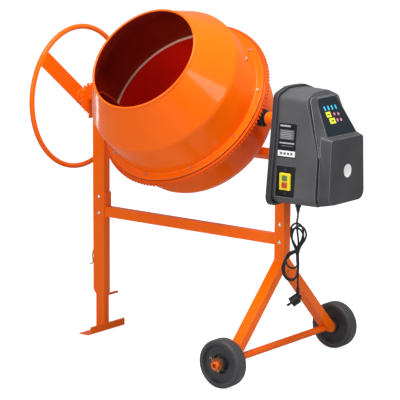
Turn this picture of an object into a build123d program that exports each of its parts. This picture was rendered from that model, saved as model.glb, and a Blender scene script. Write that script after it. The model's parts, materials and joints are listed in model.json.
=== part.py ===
from build123d import *
import os
from math import atan2, cos, pi, radians, sin, tan

os.makedirs("parts", exist_ok=True)

# A drum concrete mixer on a two-post stand. While it is modelled, the origin is on the floor midway
# between the posts, +X to the motor side and -Y to the side that the drum faces. The last section
# moves every node so that the origin is the middle of the machine's footprint.

# Stand
POST_X = 420.0
TILT_Z = 888.5
SHEET = 3.0
LEFT_WIDTH = 54.0
LEFT_DEPTH = 34.0
LEFT_TOP = 930.0
LEFT_BOTTOM = 136.0
LEFT_CORNER = 28.0
RIGHT_WIDTH = 40.0
RIGHT_TOP = 861.0
RIGHT_BOTTOM = 352.0
BEAM_BOTTOM = 443.0
BEAM_HEIGHT = 39.5
BEAM_FRONT = -13.0
BEAM_BACK = 13.0
BRACKET = 4.0
BRACKET_LOW = 438.0
BRACKET_HIGH = 536.0
POST_BOLT_HEIGHTS = (455.0, 518.0)
BOLT_R = 4.0

# Lower leg and foot under the left post
LEG_WIDTH = 40.0
LEG_DEPTH = 28.0
LEG_TOP = 330.0
FOOT_SHEET = 3.5
FOOT_FRONT = -113.0
FOOT_BACK = 103.0
FOOT_HEIGHT = 28.0
FOOT_WIDTH = 44.0
FOOT_HOLE_R = 5.5
FOOT_HOLE_Y = 88.0
PIN_R = 5.0
PIN_HEIGHTS = (130.5, 210.0, 290.0)
PIN_LENGTH = 70.0

# Wheeled A-frame under the right post
WHEEL_R = 85.5
WHEEL_WIDTH = 52.0
WHEEL_Y = 342.5
AXLE_R = 13.0
AXLE_BORE = 8.5
AXLE_END = 392.0
A_LEG_DEPTH = 34.0
A_LEG_TOP = 388.0
A_LEG_FOOT_Y = 297.0
HUB_R = 25.0
TYRE_BORE = 70.0

# Drum, given as radius and height along the drum's own axis from the tilting axis
DRUM_TILT = 38.2
DRUM_SHEET = 3.0
MOUTH_R = 202.0
MOUTH_S = 333.0
MOUTH_BEAD = 4.5
MOUTH_BEAD_R = 203.5
CREASE_R = 296.0
CREASE_S = 193.0
WAIST_R = 299.0
FLANGE_R = 325.0
FLANGE_SHEET = 3.5
SEAM_S = 47.0
BOWL_R = 288.0
BOWL_S = -92.0
FLOOR_R = 150.0
FLOOR_S = -190.0
FLANGE_BOLT_R = 309.0
FLANGE_BOLTS = 10
FLANGE_BOLT_TURN = 15.0

BLADE_TURN = 33.0
BLADE_SHEET = 4.0
BLADE_BOLTS = ((BOWL_R, -40.0), (WAIST_R - 1.5, 120.0))
LUG_DEPTH = DRUM_SHEET + 3.0
HUB_BOLTS = 6
HUB_BOLT_R = 62.0

# Ring gear and pinion
RING_TEETH = 144
PINION_TEETH = 12
PINION_PITCH_R = 27.6
PINION_TIP_R = 31.4
PINION_ROOT_R = 22.4
RING_ROOT_S = 33.0
RING_TIP_S = 23.8
RING_OUTER_R = 336.0
RING_INNER_R = 290.0
TOOTH_INNER_R = 317.0
TOOTH_OUTER_R = 339.0
TOOTH_ROOT_WIDTH = 8.6
TOOTH_TIP_WIDTH = 3.2
PINION_X = 317.0
PINION_LENGTH = 24.0
SHAFT_R = 9.0
SHAFT_CLEARANCE = 0.06

# Yoke, trunnions and handwheel
YOKE_TUBE = 32.0
YOKE_S = -275.0
ARM_X = 368.0
ARM_WIDTH = 46.0
SPINDLE_R = 15.0
SPINDLE_TOP = -176.0
HUB_BOTTOM = -250.0
LEFT_TRUNNION_R = 10.5
RIGHT_TRUNNION_R = 17.0
RIGHT_TRUNNION_BORE = 13.5
BUSH_WALL = 3.3
HANDWHEEL_R = 264.0
HANDWHEEL_TUBE = 9.5
HANDWHEEL_X = -528.0
SPOKE_X = -517.5
SPOKE_WIDTH = 60.0
SPOKE_SHEET = 5.0
HUB_FLANGE_R = 30.0
HUB_FLANGE_SHEET = 6.0
HUB_BOLT_Y = 22.0
LOCK_X = -478.0
LOCK_SHEET = 6.0
LOCK_R = 56.0
LOCK_NOTCHES = 16
LOCK_NOTCH_DEPTH = 9.0
LOCK_NOTCH_WIDTH = 10.0
LOCK_TOOTH_CLEARANCE = 1.5
LEVER_PIVOT_Y = 62.0
LEVER_PIVOT_DROP = 61.0
LEVER_PIVOT_R = 6.0
LEVER_END_Y = 150.0

# Drive housing on the right post
PLATE_SHEET = 4.0
CASE_BACK = 455.0
CASE_RIM = 18.0
CASE_FRONT = 640.0
SLOPE_FOOT_Z = 800.0
SLOPE_TOP = 577.0
SLOPE_TOP_Z = 997.0
CASE_DRAFT = 7.0
CASE_BOTTOM = 620.0
CASE_SHOULDER = 988.0
CASE_TOP = 1011.0
GROOVE = 9.0
CASE_SHEET = 3.0
BOX_FRONT = 687.0
LABEL_TOP = (594.0, 988.0)
LABEL_FOOT = (664.0, 860.0)
BELT_X = 484.0
BELT_WIDTH = 14.0
BELT_SHEET = 3.0
BIG_PULLEY_R = 84.0
SMALL_PULLEY_R = 20.0
MOTOR_DROP = 185.0
MOTOR_R = 62.0
MOTOR_BACK = 508.0
MOTOR_FRONT = 626.0
BELT_CLEARANCE = 0.4
SWITCH_X = 517.0
SWITCH_Z = 699.0
RECESS = (478.0, 556.0, 646.0, 752.0)
BUTTON_TRAVEL = 4.0

# Mains lead: where it leaves the housing, and its route below the gland as offsets from the gland's mouth
CORD_R = 3.5
GLAND_X = 557.0
GLAND_Y = -102.0
GLAND_MOUTH = 592.0
LEAD_ROUTE = [(0, 0, 0), (0, 0, -13), (-5.5, 0, -28), (-5.5, 0, -40)]
TAIL_ROUTE = [(3, 0, -238), (3, 0, -246), (4, 0, -254), (4, 0, -262)]
HANK_DEPTH = 30.0
PLUG_AXIS = (-0.63, -0.49, -0.6)


def box(x0, x1, y0, y1, z0, z1):
    """A block between two corners."""
    middle = Pos((x0 + x1) / 2, (y0 + y1) / 2, (z0 + z1) / 2)
    return middle * Box(x1 - x0, y1 - y0, z1 - z0)


def rod_x(radius, x0, x1, y=0.0, z=TILT_Z):
    """A round bar along X."""
    return Pos((x0 + x1) / 2, y, z) * Rot(0, 90, 0) * Cylinder(radius, abs(x1 - x0))


def rod_y(radius, y0, y1, x, z):
    """A round bar along Y."""
    return Pos(x, (y0 + y1) / 2, z) * Rot(90, 0, 0) * Cylinder(radius, abs(y1 - y0))


def rod_z(radius, z0, z1, x=0.0, y=0.0):
    """A round bar along Z."""
    return Pos(x, y, (z0 + z1) / 2) * Cylinder(radius, abs(z1 - z0))


def hexagon_z(across, z0, z1, x=0.0, y=0.0):
    """A hexagonal bolt head or nut along Z, by its width across the flats."""
    face = RegularPolygon(radius=across / 2, side_count=6, major_radius=False)
    return Pos(x, y, z0) * extrude(face, amount=z1 - z0)


def in_drum(shape):
    """Turn a shape from the drum's own frame, with Z along its axis, to the drum's rest position."""
    return Pos(0, 0, TILT_Z) * Rot(90 - DRUM_TILT, 0, 0) * shape


def revolved(points):
    """A solid of revolution about Z from corners given as radius and height."""
    return revolve(Plane.XZ * make_face(Polyline(*points, close=True)), axis=Axis.Z)


def group(shapes):
    """Separate solids kept together as one node."""
    return Compound([solid for shape in shapes for solid in shape.solids()])


# ---------------------------------------------------------------- stand

def left_post():
    """A pressed channel, open to -X, with the lock lever's lug and pivot pin welded on."""
    x_web = -POST_X + LEFT_WIDTH / 2
    x_free = -POST_X - LEFT_WIDTH / 2
    half = LEFT_DEPTH / 2
    post = box(x_free, x_web, -half, half, LEFT_BOTTOM, LEFT_TOP)
    post -= box(x_free - 1, x_web - SHEET, SHEET - half, half - SHEET, LEFT_BOTTOM - 1, LEFT_TOP + 1)
    corner = box(x_free - 1, x_free + LEFT_CORNER, -half - 1, half + 1, LEFT_BOTTOM - 1, LEFT_BOTTOM + LEFT_CORNER)
    corner -= rod_y(LEFT_CORNER, -half - 2, half + 2, x_free + LEFT_CORNER, LEFT_BOTTOM + LEFT_CORNER)
    post -= corner
    lever_z = TILT_Z - LEVER_PIVOT_DROP
    plate = box(x_free - BRACKET, x_free, -half, half, lever_z - 12, LEFT_TOP)
    plate += box(x_free - BRACKET, x_free, half, LEVER_PIVOT_Y + 12, lever_z - 12, lever_z + 12)
    plate += rod_x(LEVER_PIVOT_R, LOCK_X - 4, x_free, LEVER_PIVOT_Y, lever_z)
    post = post + plate - rod_x(LEFT_TRUNNION_R + BUSH_WALL, x_free - 10, x_web + 5)
    for height in POST_BOLT_HEIGHTS:
        post -= rod_y(BOLT_R, -half - 1, half + 1, -POST_X, height)
    return post


def left_bush():
    x0 = -POST_X - LEFT_WIDTH / 2 - BRACKET - 2
    x1 = -POST_X + LEFT_WIDTH / 2 + 2
    bush = rod_x(LEFT_TRUNNION_R + BUSH_WALL, x0, x1)
    return bush - rod_x(LEFT_TRUNNION_R + SHAFT_CLEARANCE, x0 - 1, x1 + 1)


def right_post():
    """A square tube with the trunnion's bearing boss welded on top."""
    half = RIGHT_WIDTH / 2
    post = box(POST_X - half, POST_X + half, -half, half, RIGHT_BOTTOM, RIGHT_TOP)
    hollow = half - SHEET
    post -= box(POST_X - hollow, POST_X + hollow, -hollow, hollow, RIGHT_BOTTOM - 1, RIGHT_TOP - SHEET)
    x0, x1 = POST_X - half - 3, POST_X + half + PLATE_SHEET
    post += rod_x(TILT_Z - RIGHT_TOP + 1, x0, x1)
    post -= rod_x(RIGHT_TRUNNION_R + SHAFT_CLEARANCE, x0 - 1, x1 + 1)
    for height in POST_BOLT_HEIGHTS:
        post -= rod_y(BOLT_R, -half - 1, half + 1, POST_X, height)
    for height in plate_bolt_heights():
        post -= rod_x(BOLT_R, POST_X - half - 1, POST_X + half + 1, 0, height)
    return post


def cross_beam():
    x0 = -POST_X + LEFT_WIDTH / 2 + BRACKET
    x1 = POST_X - RIGHT_WIDTH / 2 - BRACKET
    top = BEAM_BOTTOM + BEAM_HEIGHT
    beam = box(x0, x1, BEAM_FRONT, BEAM_BACK, BEAM_BOTTOM, top)
    inside = box(x0 - 1, x1 + 1, BEAM_FRONT + SHEET, BEAM_BACK - SHEET, BEAM_BOTTOM + SHEET, top - SHEET)
    return beam - inside


def beam_bracket(side, width, depth):
    """A bent plate on the end of the beam that wraps round the back of a post."""
    inner = side * (POST_X - width / 2)
    welded = inner - side * BRACKET
    outer = side * (POST_X + width / 2 - 3)
    back = depth / 2
    low, high = BRACKET_LOW, BRACKET_HIGH
    plate = box(min(welded, inner), max(welded, inner), BEAM_FRONT, back + BRACKET, low, high)
    plate += box(min(welded, outer), max(welded, outer), back, back + BRACKET, low, high)
    for height in POST_BOLT_HEIGHTS:
        plate -= rod_y(BOLT_R, back - 1, back + BRACKET + 1, side * POST_X, height)
    return plate


def coach_bolt_y(x, z, front, back):
    """A dome-headed bolt along Y with its nut at the back."""
    dome = Pos(x, front + 5, z) * Sphere(9)
    head = dome & box(x - 9, x + 9, front - 4, front, z - 9, z + 9)
    shank = rod_y(BOLT_R, front, back + 10, x, z)
    nut = Pos(x, back + 7, z) * Rot(90, 0, 0) * hexagon_z(13, 0, 7)
    return head + shank + nut


# ---------------------------------------------------------------- lower leg and foot

def leg_centre_x():
    return -POST_X + LEFT_WIDTH / 2 - SHEET - LEG_WIDTH / 2


def lower_leg():
    x = leg_centre_x()
    half_x, half_y = LEG_WIDTH / 2, LEG_DEPTH / 2
    leg = box(x - half_x, x + half_x, -half_y, half_y, FOOT_SHEET, LEG_TOP)
    in_x, in_y = half_x - 2.5, half_y - 2.5
    leg -= box(x - in_x, x + in_x, -in_y, in_y, FOOT_SHEET - 1, LEG_TOP + 1)
    for height in PIN_HEIGHTS:
        leg -= rod_y(PIN_R, -half_y - 1, half_y + 1, x, height)
    return leg


def foot():
    """An angle iron along Y with a fixing hole near each end."""
    x1 = leg_centre_x() + LEG_WIDTH / 2 + FOOT_SHEET
    x0 = x1 - FOOT_WIDTH
    angle = box(x0, x1, FOOT_FRONT, FOOT_BACK, 0, FOOT_SHEET)
    angle += box(x1 - FOOT_SHEET, x1, FOOT_FRONT + 18, FOOT_BACK, 0, FOOT_HEIGHT)
    for y in (-FOOT_HOLE_Y, FOOT_HOLE_Y):
        angle -= rod_z(FOOT_HOLE_R, -1, FOOT_SHEET + 1, x0 + FOOT_WIDTH / 2, y)
    return angle


def leg_pin():
    """The pull-out pin through the leg, on which the post stands, long enough to grip."""
    return rod_y(PIN_R, -LEG_DEPTH / 2, LEFT_DEPTH / 2 + PIN_LENGTH, leg_centre_x(), PIN_HEIGHTS[0])


def frame_bolts():
    """Coach bolts through the posts, the plate's bolts and the motor's spacer bolts."""
    bolts = []
    for height in POST_BOLT_HEIGHTS:
        bolts.append(coach_bolt_y(-POST_X, height, -LEFT_DEPTH / 2, LEFT_DEPTH / 2 + BRACKET))
        bolts.append(coach_bolt_y(POST_X, height, -RIGHT_WIDTH / 2, RIGHT_WIDTH / 2 + BRACKET))
    x0 = POST_X - RIGHT_WIDTH / 2
    for height in plate_bolt_heights():
        bolt = rod_x(BOLT_R, x0, x0 + RIGHT_WIDTH + PLATE_SHEET + 5, 0, height)
        bolts.append(bolt + Pos(x0 - 5, 0, height) * Rot(0, 90, 0) * hexagon_z(13, 0, 5))
    for y, z in standoff_places():
        x1 = x0 + RIGHT_WIDTH
        spacer = rod_x(BOLT_R, x1, MOTOR_BACK + 5, y, z) + rod_x(8, x1 + PLATE_SHEET, CASE_BACK, y, z)
        bolts.append(spacer + rod_x(8, CASE_BACK + CASE_SHEET, MOTOR_BACK, y, z))
    return group(bolts)


def wire_clip():
    """A bent wire clip hooked round the free edge of the post."""
    x = -POST_X - LEFT_WIDTH / 2
    inside = SHEET + 2.3 - LEFT_DEPTH / 2
    points = [(x + 8, inside, 312), (x - 5, inside, 307), (x - 9, inside, 285), (x - 6, inside, 262),
              (x - 12, inside, 251), (x - 21, inside, 253)]
    route = FilletPolyline(*points, radius=3.5)
    return sweep(Plane(route @ 0, z_dir=route % 0) * Circle(2), path=route)


# ---------------------------------------------------------------- wheeled A-frame

def a_leg(side):
    """One leg of the A-frame: a square tube with a rounded end on the axle."""
    half = RIGHT_WIDTH / 2
    start = Vector(0, 0, A_LEG_TOP)
    end = Vector(0, side * A_LEG_FOOT_Y, WHEEL_R)
    run = end - start
    angle = Vector(0, 0, -1).get_angle(run)
    length = run.length
    leg = Pos(0, 0, -length / 2) * Box(RIGHT_WIDTH, A_LEG_DEPTH, length)
    leg += Pos(0, 0, -length) * Rot(0, 90, 0) * Cylinder(A_LEG_DEPTH / 2, RIGHT_WIDTH)
    in_x, in_y = RIGHT_WIDTH - 2 * SHEET, A_LEG_DEPTH - 2 * SHEET
    leg -= Pos(0, 0, -length / 2 + 15) * Box(in_x, in_y, length)
    leg = Pos(POST_X, 0, A_LEG_TOP) * Rot(side * angle, 0, 0) * leg
    near, far = sorted((side * half, side * 500))
    leg &= box(POST_X - half, POST_X + half, near, far, 0, 600)
    return leg - rod_y(AXLE_R, -AXLE_END, AXLE_END, POST_X, WHEEL_R)


def axle():
    """The axle: a tube with a cross hole for the split pin at each end."""
    bar = rod_y(AXLE_R, -AXLE_END, AXLE_END, POST_X, WHEEL_R)
    bar -= rod_y(AXLE_BORE, -AXLE_END - 1, AXLE_END + 1, POST_X, WHEEL_R)
    for y in (-AXLE_END + 6, AXLE_END - 6):
        bar -= split_pin(2.2, y)
    return bar


def split_pin(radius, y):
    """The straight part of a split pin, leaning across the end of the axle."""
    return Pos(POST_X, y, WHEEL_R) * Rot(0, -38, 0) * Cylinder(radius, 56)


def axle_fasteners():
    """A washer on each side of each wheel, with a nut and a split pin at each end of the axle."""
    pieces = []
    hub_end = WHEEL_Y + WHEEL_WIDTH / 2 - 2
    inner_end = WHEEL_Y - WHEEL_WIDTH / 2
    for side in (-1, 1):
        for y0, y1 in ((hub_end + 0.5, hub_end + 3.5), (inner_end - 2.4, inner_end - 0.4)):
            ring = rod_y(HUB_R, side * y0, side * y1, POST_X, WHEEL_R)
            pieces.append(ring - rod_y(AXLE_R, side * (y0 - 5), side * (y1 + 5), POST_X, WHEEL_R))
        middle = side * (hub_end + 8.5)
        nut = Pos(POST_X, middle, WHEEL_R) * Rot(90, 0, 0) * hexagon_z(44, -4.5, 4.5)
        pieces.append(nut - rod_y(AXLE_R, middle - 9, middle + 9, POST_X, WHEEL_R))
        end = side * (AXLE_END - 6)
        eye = Pos(POST_X, end, WHEEL_R) * Rot(0, -38, 0) * Pos(0, 0, 31) * Rot(0, 90, 0) * Torus(3.5, 1.6)
        pieces.append(split_pin(2, end) + eye)
    return group(pieces)


def rim(side):
    """The dished plastic wheel centre, modelled along Z with its outer face up."""
    half = WHEEL_WIDTH / 2
    bore = AXLE_R + 0.08
    profile = [
        (bore, -half), (HUB_R - 3, -half), (HUB_R - 3, -6), (TYRE_BORE - 5, -6), (TYRE_BORE - 5, -half + 6),
        (TYRE_BORE, -half + 6), (TYRE_BORE, half - 4), (TYRE_BORE - 3, half - 4), (TYRE_BORE - 6, half - 13),
        (HUB_R + 10, half - 15), (HUB_R + 7, half - 24), (HUB_R, half - 24), (HUB_R - 1.5, half - 2), (bore, half - 2),
    ]
    return wheel_place(side) * revolved(profile)


def tyre(side):
    """A solid tyre with rounded shoulders and a raised bead."""
    half = WHEEL_WIDTH / 2
    section = Polyline(
        (TYRE_BORE, -half + 3), (TYRE_BORE, half - 2), (TYRE_BORE + 3, half), (WHEEL_R - 5, half),
        (WHEEL_R, half - 6), (WHEEL_R, 6 - half), (WHEEL_R - 5, -half), (TYRE_BORE + 3, -half), close=True)
    face = make_face(section)
    tread = face.vertices().sort_by(Axis.X)[-2:]
    return wheel_place(side) * revolve(Plane.XZ * fillet(tread, 4), axis=Axis.Z)


def wheel_place(side):
    return Pos(POST_X, side * WHEEL_Y, WHEEL_R) * Rot(-side * 90, 0, 0)


# ---------------------------------------------------------------- yoke

def yoke_bar():
    reach = ARM_X + YOKE_TUBE / 2
    bar = Pos(0, 0, YOKE_S) * Box(2 * reach, YOKE_TUBE, YOKE_TUBE)
    bar -= Pos(0, 0, YOKE_S) * Box(2 * reach + 2, YOKE_TUBE - 6, YOKE_TUBE - 6)
    bar -= rod_z(SPINDLE_R, YOKE_S - 40, YOKE_S + 40)
    return in_drum(bar)


def yoke_arm(side):
    """One side of the yoke: a flat-sided tube with a rounded head round the tilting axis."""
    low = YOKE_S + YOKE_TUBE / 2
    x0, x1 = ARM_X - YOKE_TUBE / 2, ARM_X + YOKE_TUBE / 2
    arm = box(x0, x1, -ARM_WIDTH / 2, ARM_WIDTH / 2, low, 0)
    arm += rod_x(ARM_WIDTH / 2, x0, x1, 0, 0)
    arm -= box(x0 + SHEET, x1 - SHEET, SHEET - ARM_WIDTH / 2, ARM_WIDTH / 2 - SHEET, low - 1, -30)
    radius = RIGHT_TRUNNION_R if side > 0 else LEFT_TRUNNION_R
    arm -= rod_x(radius, x0 - 1, x1 + 1, 0, 0)
    if side < 0:
        arm = mirror(arm, Plane.YZ)
    return in_drum(arm)


def drum_spindle():
    spindle = rod_z(SPINDLE_R, YOKE_S - YOKE_TUBE / 2 - 3, SPINDLE_TOP)
    spindle += rod_z(SPINDLE_R + 5, YOKE_S + YOKE_TUBE / 2, HUB_BOTTOM - 0.5)
    return in_drum(spindle)


def left_trunnion():
    """The solid trunnion, with its thrust collar and the handwheel's flange welded on."""
    x0 = SPOKE_X + SPOKE_SHEET / 2
    trunnion = rod_x(LEFT_TRUNNION_R, SPOKE_X - SPOKE_SHEET / 2, YOKE_TUBE / 2 - ARM_X, 0, 0)
    trunnion += rod_x(HUB_FLANGE_R, x0, x0 + HUB_FLANGE_SHEET, 0, 0)
    trunnion += rod_x(13, x0, LOCK_X, 0, 0)
    trunnion += rod_x(16, -ARM_X - YOKE_TUBE / 2 - 6, -ARM_X - YOKE_TUBE / 2, 0, 0)
    for turn in (-1, 1):
        trunnion -= rod_x(BOLT_R, x0 - 1, x0 + HUB_FLANGE_SHEET + 1, turn * HUB_BOLT_Y, 0)
    return in_drum(trunnion)


def right_trunnion():
    """The hollow trunnion that the pinion shaft runs through, with its thrust collar."""
    x0 = ARM_X - YOKE_TUBE / 2
    x1 = POST_X + RIGHT_WIDTH / 2 + PLATE_SHEET + 3
    trunnion = rod_x(RIGHT_TRUNNION_R, x0, x1) + rod_x(24, ARM_X + YOKE_TUBE / 2, ARM_X + YOKE_TUBE / 2 + 12)
    return trunnion - rod_x(RIGHT_TRUNNION_BORE, x0 - 1, x1 + 1)


def pinion_bearings():
    """The two bearings in the hollow trunnion that carry the pinion shaft."""
    first = ARM_X - YOKE_TUBE / 2 + 2
    last = POST_X + RIGHT_WIDTH / 2 + PLATE_SHEET + 1
    rings = []
    for x0, x1 in ((first, first + 12), (last - 12, last)):
        ring = rod_x(RIGHT_TRUNNION_BORE, x0, x1)
        rings.append(ring - rod_x(SHAFT_R + SHAFT_CLEARANCE, x0 - 1, x1 + 1))
    return group(rings)


def handwheel():
    """A tube ring with one flat bar welded across its inner side, bolted to the hub flange."""
    ring = Pos(HANDWHEEL_X, 0, 0) * Rot(0, 90, 0) * Torus(HANDWHEEL_R, HANDWHEEL_TUBE)
    bar = Pos(SPOKE_X, 0, 0) * Box(SPOKE_SHEET, SPOKE_WIDTH, 2 * HANDWHEEL_R)
    wheel = ring + bar - rod_x(LEFT_TRUNNION_R, SPOKE_X - 20, SPOKE_X + 20, 0, 0)
    for turn in (-1, 1):
        wheel -= rod_x(BOLT_R, SPOKE_X - 20, SPOKE_X + 20, turn * HUB_BOLT_Y, 0)
    return in_drum(wheel)


def handwheel_bolts():
    x0 = SPOKE_X - SPOKE_SHEET / 2
    nut_x = x0 + SPOKE_SHEET + HUB_FLANGE_SHEET
    bolts = []
    for turn in (-1, 1):
        y = turn * HUB_BOLT_Y
        head = Pos(x0 - 5, y, 0) * Rot(0, 90, 0) * hexagon_z(13, 0, 5)
        nut = Pos(nut_x, y, 0) * Rot(0, 90, 0) * hexagon_z(13, 0, 6.5)
        bolts.append(in_drum(rod_x(BOLT_R, x0, nut_x + 9, y, 0) + head + nut))
    return group(bolts)


def lock_disc():
    """The notched disc that holds the drum at the chosen tilt."""
    disc = rod_x(LOCK_R, LOCK_X, LOCK_X + LOCK_SHEET, 0, 0)
    for index in range(LOCK_NOTCHES):
        slot = Pos(LOCK_X, 0, -LOCK_R) * Box(3 * LOCK_SHEET, LOCK_NOTCH_WIDTH, 2 * LOCK_NOTCH_DEPTH)
        disc -= Rot(index * 360 / LOCK_NOTCHES, 0, 0) * slot
    disc -= rod_x(LEFT_TRUNNION_R, LOCK_X - 5, LOCK_X + 10, 0, 0)
    return Pos(0, 0, TILT_Z) * disc


def lock_lever():
    """The lever whose tooth drops into the notched disc from below, shown just released."""
    z = TILT_Z - LEVER_PIVOT_DROP
    x0, x1 = LOCK_X + 0.5, LOCK_X + LOCK_SHEET - 0.5
    arm = box(x0, x1, -7, LEVER_PIVOT_Y, z - 17, z - 4.5) + rod_x(12, x0, x1, LEVER_PIVOT_Y, z)
    arm += box(x0, x1, -3.5, 3.5, z - 10, TILT_Z - LOCK_R - LOCK_TOOTH_CLEARANCE)
    arm += box(x0, x1, LEVER_PIVOT_Y, LEVER_END_Y - 40, z - 7, z + 7)
    grip = rod_y(8, LEVER_END_Y - 60, LEVER_END_Y, (x0 + x1) / 2, z)
    return arm + grip - rod_x(LEVER_PIVOT_R + SHAFT_CLEARANCE, x0 - 1, x1 + 1, LEVER_PIVOT_Y, z)


# ---------------------------------------------------------------- drum

def drum_cone():
    """The upper drum: a short straight wall above the flange, then a cone to the beaded mouth."""
    t = DRUM_SHEET
    slope = atan2(CREASE_R - MOUTH_R, MOUTH_S - CREASE_S)
    profile = [
        (FLANGE_R, SEAM_S), (FLANGE_R, SEAM_S + FLANGE_SHEET), (WAIST_R, SEAM_S + FLANGE_SHEET),
        (CREASE_R, CREASE_S), (MOUTH_R, MOUTH_S), (MOUTH_R - t * cos(slope), MOUTH_S - t * sin(slope)),
        (CREASE_R - t, CREASE_S - 1), (WAIST_R - t, SEAM_S),
    ]
    face = make_face(Polyline(*profile, close=True))
    face = fillet(corners(face, CREASE_R, CREASE_S, 4), 9)
    face = fillet(corners(face, WAIST_R, SEAM_S + FLANGE_SHEET, 1), 4)
    shell = revolve(Plane.XZ * face, axis=Axis.Z)
    shell += Pos(0, 0, MOUTH_S) * Torus(MOUTH_BEAD_R, MOUTH_BEAD)
    return in_drum(shell - flange_bolt_holes() - blade_bolt_holes())


def corners(face, x, y, reach):
    """The corners of a flat face near a place."""
    return [v for v in face.vertices() if abs(v.X - x) < reach and abs(v.Y - y) < reach]


def drum_bowl():
    """The lower drum: a flanged cylinder with a rounded bottom and a flat floor."""
    shell = revolve(Plane.XZ * (bowl_face(0) - bowl_face(DRUM_SHEET)), axis=Axis.Z)
    flange = rod_z(FLANGE_R, SEAM_S - FLANGE_SHEET, SEAM_S) - rod_z(BOWL_R - 2, SEAM_S - 10, SEAM_S + 10)
    hub_hole = rod_z(24, FLOOR_S - 10, FLOOR_S + 10)
    return in_drum(shell + flange - hub_hole - flange_bolt_holes() - blade_bolt_holes() - hub_bolt_holes())


def bowl_face(inset):
    """Half the bowl's section, made smaller by the sheet thickness."""
    r, floor = BOWL_R - inset, FLOOR_S + inset
    wall = Polyline((r, BOWL_S), (r, SEAM_S), (0, SEAM_S), (0, floor), (FLOOR_R, floor))
    dome = EllipticalCenterArc((FLOOR_R, BOWL_S), r - FLOOR_R, BOWL_S - floor, start_angle=270, arc_size=90)
    return make_face(wall + dome)


def around(count, radius, first=0.0):
    """Places round the drum's axis."""
    return [Rot(0, 0, first + 360 * index / count) * Pos(radius, 0, 0) for index in range(count)]


def flange_bolt_holes():
    return [place * rod_z(3, 20, 70) for place in around(FLANGE_BOLTS, FLANGE_BOLT_R, FLANGE_BOLT_TURN)]


def drum_bolts():
    """The bolts through the flange and ring gear, through the hub and through the blades' lugs."""
    top = SEAM_S + FLANGE_SHEET
    flange_bolt = rod_z(3, RING_ROOT_S - 5, top) + hexagon_z(10, top, top + 4.5) + hexagon_z(10, RING_ROOT_S - 4.5, RING_ROOT_S)
    floor = FLOOR_S + DRUM_SHEET + 3
    hub_bolt = rod_z(4, FLOOR_S - 14, floor) + hexagon_z(13, FLOOR_S - 12.5, FLOOR_S - 6) + hexagon_z(13, floor, floor + 5)
    bolts = [place * flange_bolt for place in around(FLANGE_BOLTS, FLANGE_BOLT_R, FLANGE_BOLT_TURN)]
    bolts += [place * hub_bolt for place in around(HUB_BOLTS, HUB_BOLT_R)]
    for index in (0, 1):
        for radius, s in BLADE_BOLTS:
            inner = radius - LUG_DEPTH
            bolt = rod_x(4, inner - 10, radius + 1, 0, s)
            bolt += Pos(radius + 0.5, 0, s) * Rot(0, 90, 0) * hexagon_z(13, 0, 5)
            bolt += Pos(inner - 10.5, 0, s) * Rot(0, 90, 0) * hexagon_z(13, 0, 6.5)
            bolts.append(blade_place(index) * bolt)
    return group(in_drum(bolt) for bolt in bolts)


def ring_gear():
    """A face gear under the flange: its teeth point away from the mouth."""
    ring = rod_z(RING_OUTER_R, RING_ROOT_S, SEAM_S - FLANGE_SHEET)
    ring -= rod_z(RING_INNER_R, RING_ROOT_S - 1, SEAM_S)
    root, tip = TOOTH_ROOT_WIDTH / 2, TOOTH_TIP_WIDTH / 2
    section = Polyline((-root, RING_ROOT_S + 1.5), (-root, RING_ROOT_S), (-tip, RING_TIP_S), (tip, RING_TIP_S),
                       (root, RING_ROOT_S), (root, RING_ROOT_S + 1.5), close=True)
    tooth = extrude(facing_x(make_face(section), TOOTH_INNER_R), amount=TOOTH_OUTER_R - TOOTH_INNER_R)
    pitch = 360 / RING_TEETH
    teeth = [Rot(0, 0, (index + 0.5) * pitch) * tooth for index in range(RING_TEETH)]
    return in_drum(ring.fuse(*teeth) - flange_bolt_holes())


def blade_place(index):
    """Where a mixing blade stands round the drum's axis."""
    return Rot(0, 0, BLADE_TURN + 180 * index)


def blade_bolt_holes():
    return [blade_place(index) * rod_x(4, radius - 20, radius + 10, 0, s) for index in (0, 1) for radius, s in BLADE_BOLTS]


def mixing_blades():
    """Two steel paddles that follow the wall from the bowl to the cone, with a lug at each bolt."""
    half, gap, lug = BLADE_SHEET / 2, 6.0, 30.0
    bowl, waist = BOWL_R - DRUM_SHEET - gap, WAIST_R - DRUM_SHEET - gap
    outline = Polyline(
        (bowl, SEAM_S - 20), (bowl, BOWL_S + 20), (bowl - 30, BOWL_S - 40), (bowl - 80, BOWL_S - 70),
        (bowl - 105, BOWL_S - 40), (bowl - 80, BOWL_S + 20), (bowl - 78, SEAM_S + 60), (CREASE_R - 95, CREASE_S + 10),
        (CREASE_R - 82, CREASE_S + 62), (CREASE_R - 56, CREASE_S + 62), (CREASE_R - 12, CREASE_S - 4),
        (waist, SEAM_S + 30), close=True)
    face = make_face(outline)
    face = fillet(face.vertices().sort_by(Axis.X)[:3], 10)
    paddle = extrude(Plane.XZ * face, amount=half, both=True)
    for radius, s in BLADE_BOLTS:
        inner = radius - LUG_DEPTH
        paddle += box(inner - 3, inner, -half, lug, s - 16, s + 16)
        paddle += box(inner - 14, inner, -half, half, s - 16, s + 16)
        paddle -= rod_x(5, radius - 25, radius + 5, lug / 2, s)
    back = Rot(0, 0, -lug / 2 / BOWL_R * 180 / pi)
    return group(in_drum(blade_place(index) * back * paddle) for index in (0, 1))


def hub_bolt_holes():
    return [place * rod_z(4, FLOOR_S - 12, FLOOR_S + 20) for place in around(HUB_BOLTS, HUB_BOLT_R)]


def drum_hub():
    """The bearing housing bolted under the drum's floor."""
    hub = rod_z(80, FLOOR_S - 6, FLOOR_S) + rod_z(36, HUB_BOTTOM, FLOOR_S - 6)
    hub -= rod_z(26, HUB_BOTTOM - 1, FLOOR_S + 1)
    return in_drum(hub - hub_bolt_holes())


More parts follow.
